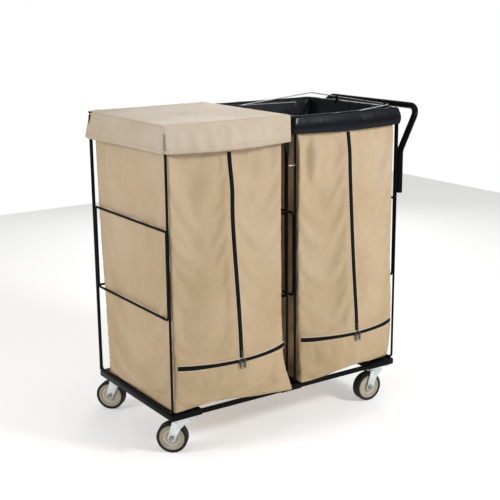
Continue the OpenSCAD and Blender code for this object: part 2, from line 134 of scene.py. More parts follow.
def makeLights():
    k = studioSettings
    for name, place, size, watts in k["lights"]:
        data = bpy.data.lights.new(name, "AREA")
        data.size = size
        data.energy = watts
        light = bpy.data.objects.new(name, data)
        bpy.context.scene.collection.objects.link(light)
        light.location = place
        light.rotation_euler = (Vector(k["aim"]) - Vector(place)).to_track_quat("-Z", "Y").to_euler()
    world = bpy.data.worlds.new("studio")
    world.use_nodes = True
    tree = world.node_tree
    soft = tree.nodes["Background"]
    soft.inputs[0].default_value = k["soft"]
    soft.inputs[1].default_value = k["softStrength"]
    plain = tree.nodes.new("ShaderNodeBackground")
    plain.inputs[0].default_value = (1, 1, 1, 1)
    path = tree.nodes.new("ShaderNodeLightPath")
    choose = tree.nodes.new("ShaderNodeMixShader")
    tree.links.new(path.outputs["Is Camera Ray"], choose.inputs[0])
    tree.links.new(soft.outputs[0], choose.inputs[1])
    tree.links.new(plain.outputs[0], choose.inputs[2])
    tree.links.new(choose.outputs[0], tree.nodes["World Output"].inputs[0])
    bpy.context.scene.world = world
    bpy.context.scene.view_settings.view_transform = "Standard"


def newGroup(name, inputs, outputs):
    group = bpy.data.node_groups.new(name, "ShaderNodeTree")
    for label, kind, value in inputs:
        socket = group.interface.new_socket(name=label, in_out="INPUT", socket_type=kind)
        if value is not None:
            socket.default_value = value
    for label, kind in outputs:
        group.interface.new_socket(name=label, in_out="OUTPUT", socket_type=kind)
    return group, group.nodes.new("NodeGroupInput"), group.nodes.new("NodeGroupOutput")


def feed(tree, value, socket):
    # numbers and colours are set on the socket, and anything else is linked to it
    if isinstance(value, (int, float)):
        socket.default_value = value
    elif isinstance(value, tuple):
        socket.default_value = (*value, 1)
    elif value is not None:
        tree.links.new(value, socket)


def mathNode(tree, operation, a, b=None, c=None):
    node = tree.nodes.new("ShaderNodeMath")
    node.operation = operation
    for socket, value in zip(node.inputs, (a, b, c)):
        feed(tree, value, socket)
    return node.outputs[0]


def noiseNode(tree, vector, scale, detail=3.0, roughness=0.5):
    node = tree.nodes.new("ShaderNodeTexNoise")
    for label, value in (("Vector", vector), ("Scale", scale), ("Detail", detail), ("Roughness", roughness)):
        feed(tree, value, node.inputs[label])
    return node.outputs["Fac"]


def rangeNode(tree, value, fromLow, fromHigh, toLow, toHigh):
    node = tree.nodes.new("ShaderNodeMapRange")
    labels = ("Value", "From Min", "From Max", "To Min", "To Max")
    for label, number in zip(labels, (value, fromLow, fromHigh, toLow, toHigh)):
        feed(tree, number, node.inputs[label])
    return node.outputs["Result"]


def mixColours(tree, factor, a, b, blend="MIX"):
    node = tree.nodes.new("ShaderNodeMix")
    node.data_type = "RGBA"
    node.blend_type = blend
    for index, value in ((0, factor), (6, a), (7, b)):
        feed(tree, value, node.inputs[index])
    return node.outputs[2]


# dark seams and sewing, and painted shade in the lid's slit and the wheel's grooves
def seamMask(tree):
    node = tree.nodes.new("ShaderNodeAttribute")
    node.attribute_name = "seam"
    return node.outputs["Fac"]


def makeWeaveGroup():
    # plain weave on a UV map in metres, with slubs in the yarn
    group, into, out = newGroup("plainWeave", [
        ("Vector", "NodeSocketVector", None), ("Threads per metre", "NodeSocketFloat", 800.0),
        ("Slub", "NodeSocketFloat", 0.5)], [("Height", "NodeSocketFloat"), ("Yarn", "NodeSocketFloat")])
    split = group.nodes.new("ShaderNodeSeparateXYZ")
    group.links.new(into.outputs["Vector"], split.inputs[0])
    turns = mathNode(group, "MULTIPLY", into.outputs["Threads per metre"], math.pi)
    waves = []
    for axis in (0, 1):
        angle = mathNode(group, "MULTIPLY", split.outputs[axis], turns)
        waves.append(mathNode(group, "SINE", angle))
    cross = mathNode(group, "MULTIPLY", waves[0], waves[1])
    slubs = []
    for stretch in ((900, 26, 1), (26, 900, 1)):
        mapping = group.nodes.new("ShaderNodeMapping")
        mapping.inputs["Scale"].default_value = stretch
        group.links.new(into.outputs["Vector"], mapping.inputs["Vector"])
        slubs.append(noiseNode(group, mapping.outputs["Vector"], 1.0, 2.0))
    slub = mathNode(group, "MULTIPLY", mathNode(group, "ADD", slubs[0], slubs[1]), into.outputs["Slub"])
    height = mathNode(group, "MULTIPLY_ADD", cross, 0.5, slub)
    group.links.new(height, out.inputs["Height"])
    group.links.new(slub, out.inputs["Yarn"])
    return group


def makeBlotchGroup():
    # soft uneven patches, from large to small
    group, into, out = newGroup("softBlotch", [
        ("Vector", "NodeSocketVector", None), ("Scale", "NodeSocketFloat", 5.0)],
        [("Mask", "NodeSocketFloat")])
    patches = noiseNode(group, into.outputs["Vector"], into.outputs["Scale"], 4.0, 0.55)
    group.links.new(rangeNode(group, patches, 0.3, 0.7, 0.0, 1.0), out.inputs["Mask"])
    return group


def makeGrainGroup():
    # fine pebbled skin with sparse scuffs, for paint, rubber and moulded plastic
    group, into, out = newGroup("fineGrain", [
        ("Vector", "NodeSocketVector", None), ("Scale", "NodeSocketFloat", 900.0),
        ("Scuffs", "NodeSocketFloat", 0.3)], [("Height", "NodeSocketFloat"), ("Scuff", "NodeSocketFloat")])
    skin = noiseNode(group, into.outputs["Vector"], into.outputs["Scale"], 2.0)
    broad = noiseNode(group, into.outputs["Vector"], 38.0, 6.0, 0.7)
    scuff = rangeNode(group, broad, 0.58, 0.72, 0.0, 1.0)
    group.links.new(mathNode(group, "MULTIPLY", scuff, into.outputs["Scuffs"]), out.inputs["Scuff"])
    group.links.new(skin, out.inputs["Height"])
    return group


weaveGroup = makeWeaveGroup()
blotchGroup = makeBlotchGroup()
grainGroup = makeGrainGroup()


def placeGroup(tree, group, vector, **values):
    node = tree.nodes.new("ShaderNodeGroup")
    node.node_tree = group
    tree.links.new(vector, node.inputs["Vector"])
    for label, value in values.items():
        node.inputs[label.replace("_", " ")].default_value = value
    return node.outputs


def startMaterial(name, **sockets):
    material = bpy.data.materials.new(name)
    material.use_nodes = True
    shader = material.node_tree.nodes["Principled BSDF"]
    for label, value in sockets.items():
        shader.inputs[label.replace("_", " ")].default_value = value
    return material, material.node_tree


def joinLook(material, colour, roughness, layers):
    # layers of bump are (height, strength, distance in metres), the broadest first
    tree = material.node_tree
    shader = tree.nodes["Principled BSDF"]
    tree.links.new(colour, shader.inputs["Base Color"])
    tree.links.new(roughness, shader.inputs["Roughness"])
    normal = None
    for height, strength, distance in layers:
        bump = tree.nodes.new("ShaderNodeBump")
        bump.inputs["Strength"].default_value = strength
        bump.inputs["Distance"].default_value = distance
        tree.links.new(height, bump.inputs["Height"])
        feed(tree, normal, bump.inputs["Normal"])
        normal = bump.outputs["Normal"]
    tree.links.new(normal, shader.inputs["Normal"])
    return material


def canvasFinish(name, light, shade, threads=720.0, low=0.0):
    # woven cloth with painted light and shade in soft patches between a lit and a shaded colour, and small
    # patches of uneven tone; low is how much painted shade darkens it towards the floor
    material, tree = startMaterial(
        name, Sheen_Weight=0.08, Sheen_Roughness=0.5, Sheen_Tint=(1.0, 0.93, 0.84, 1),
        Specular_IOR_Level=0.42)
    coords = tree.nodes.new("ShaderNodeTexCoord").outputs
    weave = placeGroup(tree, weaveGroup, coords["UV"], Threads_per_metre=threads, Slub=0.5)
    # painted light and shade: large soft patches between the lit colour and the shaded colour
    blotch = placeGroup(tree, blotchGroup, coords["Object"], Scale=4.5)
    small = placeGroup(tree, blotchGroup, coords["Object"], Scale=31.0)
    split = tree.nodes.new("ShaderNodeSeparateXYZ")
    tree.links.new(coords["Object"], split.inputs[0])
    # painted shade: the cloth is painted darker towards the floor
    paintedLowShade = rangeNode(tree, split.outputs[2], 0.95, 0.2, 0.0, low)
    cloth = mixColours(tree, mathNode(tree, "MULTIPLY_ADD", blotch["Mask"], 1.0 - low, paintedLowShade), light, shade)
    yarn = rangeNode(tree, weave["Yarn"], 0.3, 0.7, 0.90, 1.07)
    worn = rangeNode(tree, small["Mask"], 0.0, 1.0, 0.965, 1.02)
    toned = mixColours(tree, 1.0, cloth, mathNode(tree, "MULTIPLY", yarn, worn), "MULTIPLY")
    # seams are darker, and the lid's slit is painted shade
    deep = tuple(c * 0.36 for c in shade)
    crumple = noiseNode(tree, coords["Object"], 26.0, 5.0, 0.6)
    return joinLook(material, mixColours(tree, seamMask(tree), toned, deep),
                    rangeNode(tree, small["Mask"], 0, 1, 0.46, 0.60),
                    [(crumple, 0.30, 0.003), (weave["Height"], 0.34, 0.0005)])


def vinylFinish(name, dark, pale):
    # crinkled film with a faint cloth backing
    material, tree = startMaterial(
        name, Specular_IOR_Level=0.09, Coat_Weight=0.12, Coat_Roughness=0.10, IOR=1.5)
    coords = tree.nodes.new("ShaderNodeTexCoord").outputs
    weave = placeGroup(tree, weaveGroup, coords["UV"], Threads_per_metre=900.0, Slub=0.3)
    blotch = placeGroup(tree, blotchGroup, coords["Object"], Scale=13.0)
    crinkle = noiseNode(tree, coords["Object"], 30.0, 4.0, 0.5)
    return joinLook(material, mixColours(tree, blotch["Mask"], dark, pale),
                    rangeNode(tree, blotch["Mask"], 0, 1, 0.30, 0.46),
                    [(crinkle, 0.22, 0.003), (weave["Height"], 0.10, 0.0002)])


def paintFinish(name, colour, gloss, scuffs=0.35):
    # powder coat: orange peel, faint scuffs that catch the light
    material, tree = startMaterial(
        name, Specular_IOR_Level=0.05, Coat_Weight=0.015, Coat_Roughness=0.15)
    coords = tree.nodes.new("ShaderNodeTexCoord").outputs
    grain = placeGroup(tree, grainGroup, coords["Object"], Scale=1100.0, Scuffs=scuffs)
    worn = tuple(min(1.0, c * 2.6 + 0.004) for c in colour)
    return joinLook(material, mixColours(tree, grain["Scuff"], colour, worn),
                    rangeNode(tree, grain["Scuff"], 0, 1, gloss, gloss + 0.22),
                    [(grain["Height"], 0.16, 0.0003)])


def metalFinish(name, colour, roughness, grain=700.0):
    # plated metal: mottled bright and dull patches
    material, tree = startMaterial(name, Metallic=0.9)
    coords = tree.nodes.new("ShaderNodeTexCoord").outputs
    skin = placeGroup(tree, grainGroup, coords["Object"], Scale=grain, Scuffs=0.6)
    blotch = placeGroup(tree, blotchGroup, coords["Object"], Scale=60.0)
    dull = tuple(c * 0.78 for c in colour)
    return joinLook(material, mixColours(tree, blotch["Mask"], colour, dull),
                    rangeNode(tree, blotch["Mask"], 0, 1, roughness, roughness + 0.16),
                    [(skin["Height"], 0.12, 0.0003)])


def mouldedFinish(name, colour, roughness, grain=600.0, scuffs=0.5):
    # rubber and plastic: dusty where it is scuffed, and darker where grooves are marked with painted shade
    material, tree = startMaterial(name, Specular_IOR_Level=0.10)
    coords = tree.nodes.new("ShaderNodeTexCoord").outputs
    skin = placeGroup(tree, grainGroup, coords["Object"], Scale=grain, Scuffs=scuffs)
    dusty = tuple(mix(c, 0.24, 0.10) for c in colour)
    skinned = mixColours(tree, skin["Scuff"], colour, dusty)
    return joinLook(material, mixColours(tree, seamMask(tree), skinned, tuple(c * 0.3 for c in colour)),
                    rangeNode(tree, skin["Scuff"], 0, 1, roughness, roughness + 0.15),
                    [(skin["Height"], 0.2, 0.0003)])


finishes = {
    # canvas finishes take a lit colour and a shaded colour, mixed in patches as painted light and shade
    "canvas": canvasFinish("tanCanvas", (0.565, 0.430, 0.290), (0.450, 0.322, 0.172), 720.0, 0.40),
    "lidCanvas": canvasFinish("lidCanvas", (0.560, 0.474, 0.370), (0.500, 0.398, 0.272)),
    "zipEdge": canvasFinish("zipEdgeCanvas", (0.575, 0.462, 0.320), (0.530, 0.415, 0.280)),
    "thread": canvasFinish("tanThread", (0.500, 0.380, 0.240), (0.420, 0.310, 0.190), 1800.0),
    "vinyl": vinylFinish("linerVinyl", (0.002, 0.0025, 0.0045), (0.0045, 0.006, 0.012)),
    "frame": paintFinish("blackPowderCoat", (0.0035, 0.0035, 0.004), 0.34),
    "handle": paintFinish("blackHandleCoat", (0.003, 0.003, 0.0035), 0.26),
    "zinc": metalFinish("zincPlate", (0.76, 0.81, 0.82), 0.40),
    "bolt": metalFinish("dullBolt", (0.34, 0.34, 0.33), 0.34),
    "wire": metalFinish("platedWire", (0.46, 0.47, 0.46), 0.30),
    "zipTape": mouldedFinish("blackZipTape", (0.005, 0.005, 0.006), 0.72, 1400.0, 0.1),
    "zipTeeth": mouldedFinish("blackZipTeeth", (0.008, 0.008, 0.009), 0.4, 900.0, 0.1),
    "zipPull": metalFinish("darkZipPull", (0.10, 0.095, 0.085), 0.34),
    "clip": mouldedFinish("blackClip", (0.005, 0.005, 0.006), 0.45, 600.0, 0.2),
    "core": mouldedFinish("greyWheelCore", (0.500, 0.448, 0.352), 0.5, 500.0),
    "tyre": mouldedFinish("blackTyre", (0.020, 0.018, 0.0165), 0.6, 420.0, 0.35),
}
print("finishes ready:", len(finishes))


def ringMesh(name, rings, finish, closed=True, cap=False, seams=None):
    # rings of points from the bottom up, joined into one sheet with a UV map in metres
    count = len(rings[0])
    points = [p for ring in rings for p in ring]
    faces = []
    uvs = []
    across = [0.0]
    middle = rings[len(rings) // 2]
    for a, b in zip(middle, middle[1:] + middle[:1]):
        across.append(across[-1] + (b - a).length)
    upwards = [0.0]
    for lower, upper in zip(rings, rings[1:]):
        upwards.append(upwards[-1] + sum((b - a).length for a, b in zip(lower, upper)) / count)
    for r in range(len(rings) - 1):
        for c in range(count if closed else count - 1):
            d = (c + 1) % count
            faces.append((r * count + c, r * count + d, (r + 1) * count + d, (r + 1) * count + c))
            uvs += [(across[c], upwards[r]), (across[c + 1], upwards[r]),
                    (across[c + 1], upwards[r + 1]), (across[c], upwards[r + 1])]
    if cap:
        hub = len(points)
        points.append(sum(rings[0], Vector()) / count)
        for c in range(count):
            faces.append((hub, (c + 1) % count, c))
            uvs += [(0, 0), (across[c + 1], 0.01), (across[c], 0.01)]
    mesh = bpy.data.meshes.new(name)
    mesh.from_pydata([tuple(p) for p in points], [], faces)
    layer = mesh.uv_layers.new(name="cloth")
    for loop, uv in zip(layer.data, uvs):
        loop.uv = uv
    if seams:
        marks = mesh.attributes.new("seam", "FLOAT", "POINT")
        for index, value in seams.items():
            marks.data[index].value = value
    piece = bpy.data.objects.new(name, mesh)
    bpy.context.scene.collection.objects.link(piece)
    mesh.materials.append(finishes[finish])
    return piece


def joinCart(piece, body, node=None):
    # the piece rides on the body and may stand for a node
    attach(piece, body)
    if node:
        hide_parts(node)


def thicken(piece, thickness):
    # gives a sheet its wall, inwards
    activate(piece)
    modifier = piece.modifiers.new("thickness", "SOLIDIFY")
    modifier.thickness = thickness * mm
    modifier.offset = -1.0
    bpy.ops.object.modifier_apply(modifier=modifier.name)
    bpy.ops.object.shade_smooth()
    deselect()


clothSettings = {"quality": 5, "mass": 0.35, "tension": 30, "compression": 30}


def settle(piece, pinned, frames, cap, slack=0.012, stiff=6.0):
    # lets the cloth hang between its pinned points, then limits how far each point has moved
    k = clothSettings
    group = piece.vertex_groups.new(name="pins")
    for index, weight in pinned.items():
        group.add([index], weight, "REPLACE")
    before = [v.co.copy() for v in piece.data.vertices]
    activate(piece)
    cloth = piece.modifiers.new("hang", "CLOTH")
    cloth.settings.quality = k["quality"]
    cloth.settings.mass = k["mass"]
    cloth.settings.tension_stiffness = k["tension"]
    cloth.settings.compression_stiffness = k["compression"]
    cloth.settings.bending_stiffness = stiff
    cloth.settings.shrink_min = -slack
    cloth.settings.vertex_group_mass = "pins"
    cloth.collision_settings.use_collision = False
    cloth.point_cache.frame_end = frames
    for number in range(1, frames + 1):
        bpy.context.scene.frame_set(number)
    bpy.ops.object.modifier_apply(modifier=cloth.name)
    bpy.context.scene.frame_set(1)
    for vertex, old in zip(piece.data.vertices, before):
        step = vertex.co - old
        if step.length > cap * mm:
            vertex.co = old + step * (cap * mm / step.length)
    piece.vertex_groups.clear()
    deselect()


def makeBead(name, bevel, segments):
    # one small bevelled bead, copied later along a seam or a zip
    deselect()
    bpy.ops.mesh.primitive_cube_add(size=1)
    bead = bpy.context.object
    bead.name = name
    bpy.ops.object.mode_set(mode="EDIT")
    bpy.ops.mesh.select_all(action="SELECT")
    bpy.ops.mesh.bevel(offset=bevel, segments=segments, affect="EDGES")
    bpy.ops.object.mode_set(mode="OBJECT")
    return bead


def copyBead(bead, spots, finish):
    # spots are (middle, across, up, out): where each copy goes and its three edges, in metres
    shape = [v.co.copy() for v in bead.data.vertices]
    sides = [tuple(p.vertices) for p in bead.data.polygons]
    points, faces = [], []
    for middle, across, up, out in spots:
        start = len(points)
        points += [tuple(middle + across * v.x + up * v.y + out * v.z) for v in shape]
        faces += [tuple(i + start for i in f) for f in sides]
    mesh = bpy.data.meshes.new(bead.name)
    mesh.from_pydata(points, [], faces)
    mesh.materials.append(finishes[finish])
    bead.data = mesh
    activate(bead)
    bpy.ops.object.mode_set(mode="EDIT")
    bpy.ops.mesh.select_all(action="SELECT")
    bpy.ops.mesh.normals_make_consistent(inside=False)
    bpy.ops.object.mode_set(mode="OBJECT")


stitchSettings = {
    "length": 4.2, "width": 1.1, "height": 0.7, "gap": 2.2, "first": 3.0, "clear": 0.2, "bevel": 0.28,
}


def makeStitches(name, line, out, body):
    # a row of thread stitches along a line of points, standing just clear of the cloth
    k = stitchSettings
    bead = makeBead(name, k["bevel"], 2)
    spots = []
    spot, travelled = k["first"], 0.0
    for p, q in zip(line, line[1:]):
        span = (q - p).length / mm
        if span < 0.01:
            continue
        forward = (q - p).normalized()
        up = out.cross(forward).normalized()
        outward = forward.cross(up)
        if outward.dot(out) < 0:
            outward = -outward
        while spot < travelled + span:
            at = p + forward * (spot - travelled) * mm + outward * k["clear"] * mm
            spots.append((at, forward * k["length"] * mm, up * k["width"] * mm, outward * k["height"] * mm))
            spot += k["length"] + k["gap"]
        travelled += span
    copyBead(bead, spots, "thread")
    bpy.ops.object.shade_smooth()
    joinCart(bead, body)


bagSettings = {
    # the edges are (height, x) stops; hollows are (share across, height, width as a share, height
    # of the crease, how far it stands out, lean); hemRise is (share across, width, height);
    # zipBow is (height, how far, over what height)
    "left": {
        "mid": 221.5, "half": 215.5, "sides": (7.0, 436.0), "seed": 3,
        "leftEdge": [(149, 8.5), (700, 8.5), (1030, 8.0)],
        "rightEdge": [(149, 435.0), (279, 421.0), (420, 416.0), (655, 418.0), (964, 424.0), (1030, 435.0)],
        "toe": (0.0, -46.0), "toeLift": (0.0, 0.0), "hemRise": (0.36, 0.24, 11.0),
        "zipBow": (848, 4.5, 62), "zipTop": 962, "rim": (-6.5, 450.5),
        "hollows": [(0.14, 700, 0.10, 260, -9.0, 0.0001), (0.33, 870, 0.11, 110, 8.0, 0.0009),
                    (0.70, 905, 0.10, 60, -9.0, -0.0014), (0.80, 845, 0.10, 80, 7.0, 0.0012),
                    (0.30, 450, 0.14, 120, 6.0, 0.0004), (0.72, 560, 0.14, 170, -6.0, 0.0004)],
        # the liner's cuff lies flat under the lid, and one corner droops below it
        "puff": 0.6, "gather": 0.2, "cuffSag": 0.0, "droop": 74.0,
    },
    "right": {
        "mid": 693.5, "half": 210.5, "sides": (484.0, 903.0), "seed": 11,
        "leftEdge": [(149, 493.0), (335, 489.0), (645, 488.0), (940, 493.0), (1030, 485.5)],
        "rightEdge": [(149, 902.0), (216, 902.0), (368, 897.0), (517, 888.0), (732, 890.0), (992, 896.0),
                      (1030, 902.0)],
        "toe": (-16.0, 14.0), "toeLift": (0.0, 7.0), "hemRise": (0.56, 0.22, 12.0),
        "zipBow": (915, 2.8, 58), "zipTop": 985, "rim": (469.5, 916.5),
        "hollows": [(0.10, 905, 0.045, 95, -20.0, 0.0003), (0.19, 930, 0.05, 75, 9.0, 0.0006),
                    (0.18, 770, 0.10, 50, -11.0, -0.0010), (0.76, 905, 0.10, 55, 10.0, 0.0019),
                    (0.82, 850, 0.09, 60, -9.0, 0.0016), (0.28, 520, 0.12, 180, -7.0, 0.0002),
                    (0.72, 560, 0.14, 170, 5.0, 0.0003)],
        "puff": 7.5, "gather": 0.9, "cuffSag": 6.0, "droop": 0.0,
    },
}
bagCommon = {
    "bulge": 62.0, "kneeZ": 963.0, "zipZ": 300.0, "bottomZ": 150.0, "wallTop": 1026, "mouthZ": 1030,
    "frontTop": 10.6, "backTop": 488.0, "backLow": 456.0, "belly": 10.0, "toeCurve": 1.9,
    "corner": 7.0, "mouthCorner": 9.0, "rimY": (-0.5, 499.5), "rimTop": 1040.0, "rimRise": 9.2,
    "cuff": 36.0, "columns": (52, 38, 22, 38), "row": 9.0, "hemRow": 6.0, "thickness": 2.0,
    "tall": 0.98, "cornerSeam": 0.10, "hemSeam": 0.14, "frames": 14, "mostMove": 9.0,
}


def arcRadius(bag):
    return (bag["half"] ** 2 + bagCommon["bulge"] ** 2) / (2 * bagCommon["bulge"])


def arcY(bag, x):
    # the cross zip's line in plan
    radius = arcRadius(bag)
    return radius - bagCommon["bulge"] - math.sqrt(radius ** 2 - (x - bag["mid"]) ** 2)


def shareAcross(bag, x):
    return (x - bag["sides"][0]) / (bag["sides"][1] - bag["sides"][0])


def frontY(bag, x, z):
    # the front face: upright at the mouth, leaning out to the cross zip, then back in to the toe
    k = bagCommon
    share = min(max(shareAcross(bag, x), 0), 1)
    depth = max(-arcY(bag, x), 0) / k["bulge"]
    if z >= k["kneeZ"]:
        return mix(0, k["frontTop"], ease((z - k["kneeZ"]) / (1022 - k["kneeZ"])))
    if z >= k["zipZ"]:
        lean = (k["kneeZ"] - z) / (k["kneeZ"] - k["zipZ"])
        return -k["bulge"] * lean * depth ** mix(0.75, 1.0, lean)
    t = (k["zipZ"] - z) / (k["zipZ"] - k["bottomZ"])
    toe = mix(bag["toe"][0], bag["toe"][1], share ** 1.8)
    belly = k["belly"] * math.sin(math.pi * t) * depth
    return mix(-k["bulge"] * depth, toe, t ** k["toeCurve"]) - belly


def cornerPoints(bag, z):
    k = bagCommon
    left = along(bag["leftEdge"], z)
    right = along(bag["rightEdge"], z)
    back = mix(k["backLow"], k["backTop"], ease((z - k["bottomZ"]) / 700))
    return [(left, frontY(bag, left, z)), (right, frontY(bag, right, z)), (right, back), (left, back)]


def roundedOutline(corners, counts, radius, front=None, tight=False):
    # (x, y, side, share along it) round four corners; the corner after side n counts as side n + 4,
    # and a tight one keeps closer to its sharp corner
    outline = []
    for side, count in enumerate(counts):
        (ax, ay), (bx, by), (nx, ny) = (corners[(side + step) % 4] for step in range(3))
        length = math.hypot(bx - ax, by - ay)
        for c in range(count + 1):
            t = mix(radius / length, 1 - radius / length, c / count)
            x, y = mix(ax, bx, t), mix(ay, by, t)
            outline.append((x, front(x) if front and side == 0 else y, side, t))
        turn = radius / math.hypot(nx - bx, ny - by)
        start = outline[-1]
        qx, qy = mix(bx, nx, turn), mix(by, ny, turn)
        for u in (0.33, 0.67):
            px, py = (outline[-1] if tight else start)[:2]
            outline.append((mix(mix(px, bx, u), mix(bx, qx, u), u),
                            mix(mix(py, by, u), mix(by, qy, u), u), side + 4, u))
    return outline


def planRing(bag, z, radius=bagCommon["corner"]):
    # the bag's outline at height z, from its front left corner round to the right
    return roundedOutline(cornerPoints(bag, z), bagCommon["columns"], radius, lambda x: frontY(bag, x, z))


def rimPoint(bag, x, y, out):
    # a mouth point moved to the outside of the turned-over cuff, and out beyond it
    k = bagCommon
    u = shareAcross(bag, x)
    v = (y - k["frontTop"]) / (k["backTop"] - k["frontTop"])
    return mix(bag["rim"][0] - out, bag["rim"][1] + out, u), mix(k["rimY"][0] - out, k["rimY"][1] + out, v)


def wrinkle(x, y, z, scale, seed):
    return noise.noise(Vector((x * scale + seed, y * scale - seed, z * scale * 0.62)))


def ridge(distance, width):
    return math.exp(-(distance / width) ** 2)


foldSettings = {
    # sizes in millimetres; shares run from 0 to 1 up the pocket or across a wall
    "broad": (2.6, 0.0075), "middle": (1.5, 0.021), "fine": (0.7, 0.05),
    "creaseFoot": 0.10, "creaseClimb": 0.55, "crease": 14.0, "under": 12.0, "over": 10.0,
    "puckers": 6.0, "cornerTuck": 8.0, "frontHang": 3.2, "sideWave": 1.8, "sideFold": 10.0, "sideHollow": 9.0,
}


def pocketFold(bag, t, z):
    # slack cloth under the cross zip: one long crease up from the corner, short ones by the hem
    k = foldSettings
    up = (z - bagCommon["bottomZ"]) / (bagCommon["zipZ"] - bagCommon["bottomZ"])
    crease = up - (k["creaseFoot"] + k["creaseClimb"] * t)
    fold = k["crease"] * ridge(crease, 0.085) * ease(t * 4) * ease((1 - t) * 4)
    fold -= k["under"] * ridge(crease + 0.2, 0.10) * ease((t - 0.15) * 3)
    fold -= k["over"] * ridge(crease - 0.24, 0.12) * ease((1 - t) * 3)
    fold += k["puckers"] * math.sin(19 * t + 6 * up + bag["seed"]) * ridge(up - 0.12, 0.14)
    fold += k["cornerTuck"] * ridge(t - 0.86 - 0.12 * up, 0.035) * ease((1 - up) * 3)
    return fold


def panelFold(bag, t, z):
    # long soft hollows beside the zip and a few short creases under the rim
    fold = 0.0
    for ct, cz, wt, wz, depth, lean in bag["hollows"]:
        fold += depth * ridge(t - ct - lean * (z - cz), wt) * ridge(z - cz, wz)
    return fold


def sideFold(t, z):
    # one fold running down towards the rear, and a hollow that crosses it
    k = foldSettings
    fold = k["sideFold"] * ridge(t - 0.35 - (z - 200) * 0.0012, 0.12) * ease((420 - z) / 200)
    return fold - k["sideHollow"] * ridge(t - 0.62 + (z - 300) * 0.0009, 0.14)


def bagFolds(bag, x, y, z, side, t):
    # how far the cloth stands out from its plain outline, in millimetres
    k = bagCommon
    seed = bag["seed"]
    edge = min(t, 1 - t)
    body = ease((z - k["bottomZ"]) / 40) * ease((1000 - z) / 60)
    out = 0.0
    for name, shift in (("broad", 0), ("middle", 5), ("fine", 9)):
        height, scale = foldSettings[name]
        out += height * wrinkle(x, y, z, scale, seed + shift)
    if side == 0:
        nearZip = ease((abs(x - bag["mid"] - zipBow(bag, z)) - 16) / 30)
        nearCross = ease((abs(z - k["zipZ"]) - 14) / 24)
        out *= min(nearZip if z > k["zipZ"] else 1, nearCross)
        if z < k["zipZ"]:
            out += pocketFold(bag, t, z) * nearCross * min(edge * 9, 1)
        else:
            hang = math.sin(math.pi * min(edge * 2, 1))
            out -= foldSettings["frontHang"] * hang * nearZip * nearCross
            out += panelFold(bag, t, z) * nearZip * nearCross * min(edge * 14, 1)
    elif side in (1, 3):
        out += foldSettings["sideWave"] * math.sin(z * 0.013 + t * 5 + seed) * min(edge * 6, 1)
        out += sideFold(t, z) * min(edge * 8, 1)
    return out * body * (0.35 if side > 3 else 1.0)


def bagBottom(bag, hem):
    # rings that spread from the bottom's middle to its edge
    k = bagCommon
    cx = sum(p[0] for p in hem) / len(hem)
    cy = sum(p[1] for p in hem) / len(hem)
    rings = []
    for f in (0.08, 0.22, 0.38, 0.54, 0.70, 0.84, 0.94, 0.985):
        spread = [(mix(cx, p[0], f), mix(cy, p[1], f)) for p in hem]
        rings.append([cart(x, y, k["bottomZ"] - 1 + hemLift(bag, x, y) + 0.8 * wrinkle(x, y, 0, 0.02, 1))
                      for x, y in spread])
    return rings


def hemLift(bag, x, y):
    # how far the bottom's edge rises off the rail
    share = shareAcross(bag, x)
    middle, width, height = bag["hemRise"]
    rise = height * ridge(share - middle, width) * ease((150 - y) / 150)
    return mix(bag["toeLift"][0], bag["toeLift"][1], min(max(share, 0), 1) ** 2) + rise


def bagWall(bag, z):
    # one ring of the walls, pushed in and out along its own normals by the folds
    ring = planRing(bag, z)
    count = len(ring)
    placed = []
    for i, (x, y, s, t) in enumerate(ring):
        ax, ay = ring[i - 1][:2]
        bx, by = ring[(i + 1) % count][:2]
        length = max(math.hypot(bx - ax, by - ay), 0.001)
        out = bagFolds(bag, x, y, z, s, t)
        px, py = x + (by - ay) / length * out, y - (bx - ax) / length * out
        px = min(max(px, bag["sides"][0] + 0.4), bag["sides"][1] - 0.4)
        placed.append(cart(px, py, z + hemLift(bag, x, y) * ease((200 - z) / 50)))
    return placed


def inset(bag, x, y, amount):
    # moves a point towards the middle of the bag by amount
    dx = x - (bag["sides"][0] + bag["sides"][1]) / 2
    dy = y - frameDepth / 2
    return x - math.copysign(min(amount, abs(dx)), dx), y - math.copysign(min(amount, abs(dy)), dy)


def overRim(bag, inner, angles, start, out, top, rise, ripple=0.0):
    # rings that turn over the rim, from start inside the mouth to out beyond the cuff
    rings = []
    for angle in angles:
        a = math.radians(angle)
        over = (1 - math.cos(a)) / 2
        placed = []
        for x, y, s, t in inner:
            ix, iy = inset(bag, x, y, start)
            ox, oy = rimPoint(bag, x, y, out)
            z = top + rise * math.sin(a) + ripple * wrinkle(x, y, 0, 0.03, bag["seed"]) * math.sin(a)
            placed.append(cart(mix(ix, ox, over), mix(iy, oy, over), z))
        rings.append(placed)
    return rings


def bagCuff(bag, inner):
    k = bagCommon
    rings = overRim(bag, inner, (25, 55, 90, 125, 155, 180), 0, 0, k["rimTop"], k["rimRise"])
    for drop in (9, 18, 27, k["cuff"]):
        z = k["rimTop"] - drop + 6
        rings.append([cart(*rimPoint(bag, x, y, 0), z + 0.6 * wrinkle(x, y, drop, 0.02, 7))
                      for x, y, s, t in inner])
    return rings


def bagPin(bag, side, x, z):
    # how firmly the seams and zips hold a point of the walls
    if side > 3:
        return 0.75
    onZip = z > bagCommon["zipZ"] - 6 and abs(x - bag["mid"] - zipBow(bag, z)) < 18
    onCross = abs(z - bagCommon["zipZ"]) < 16
    return 1.0 if side == 0 and (onZip or onCross) else 0.0


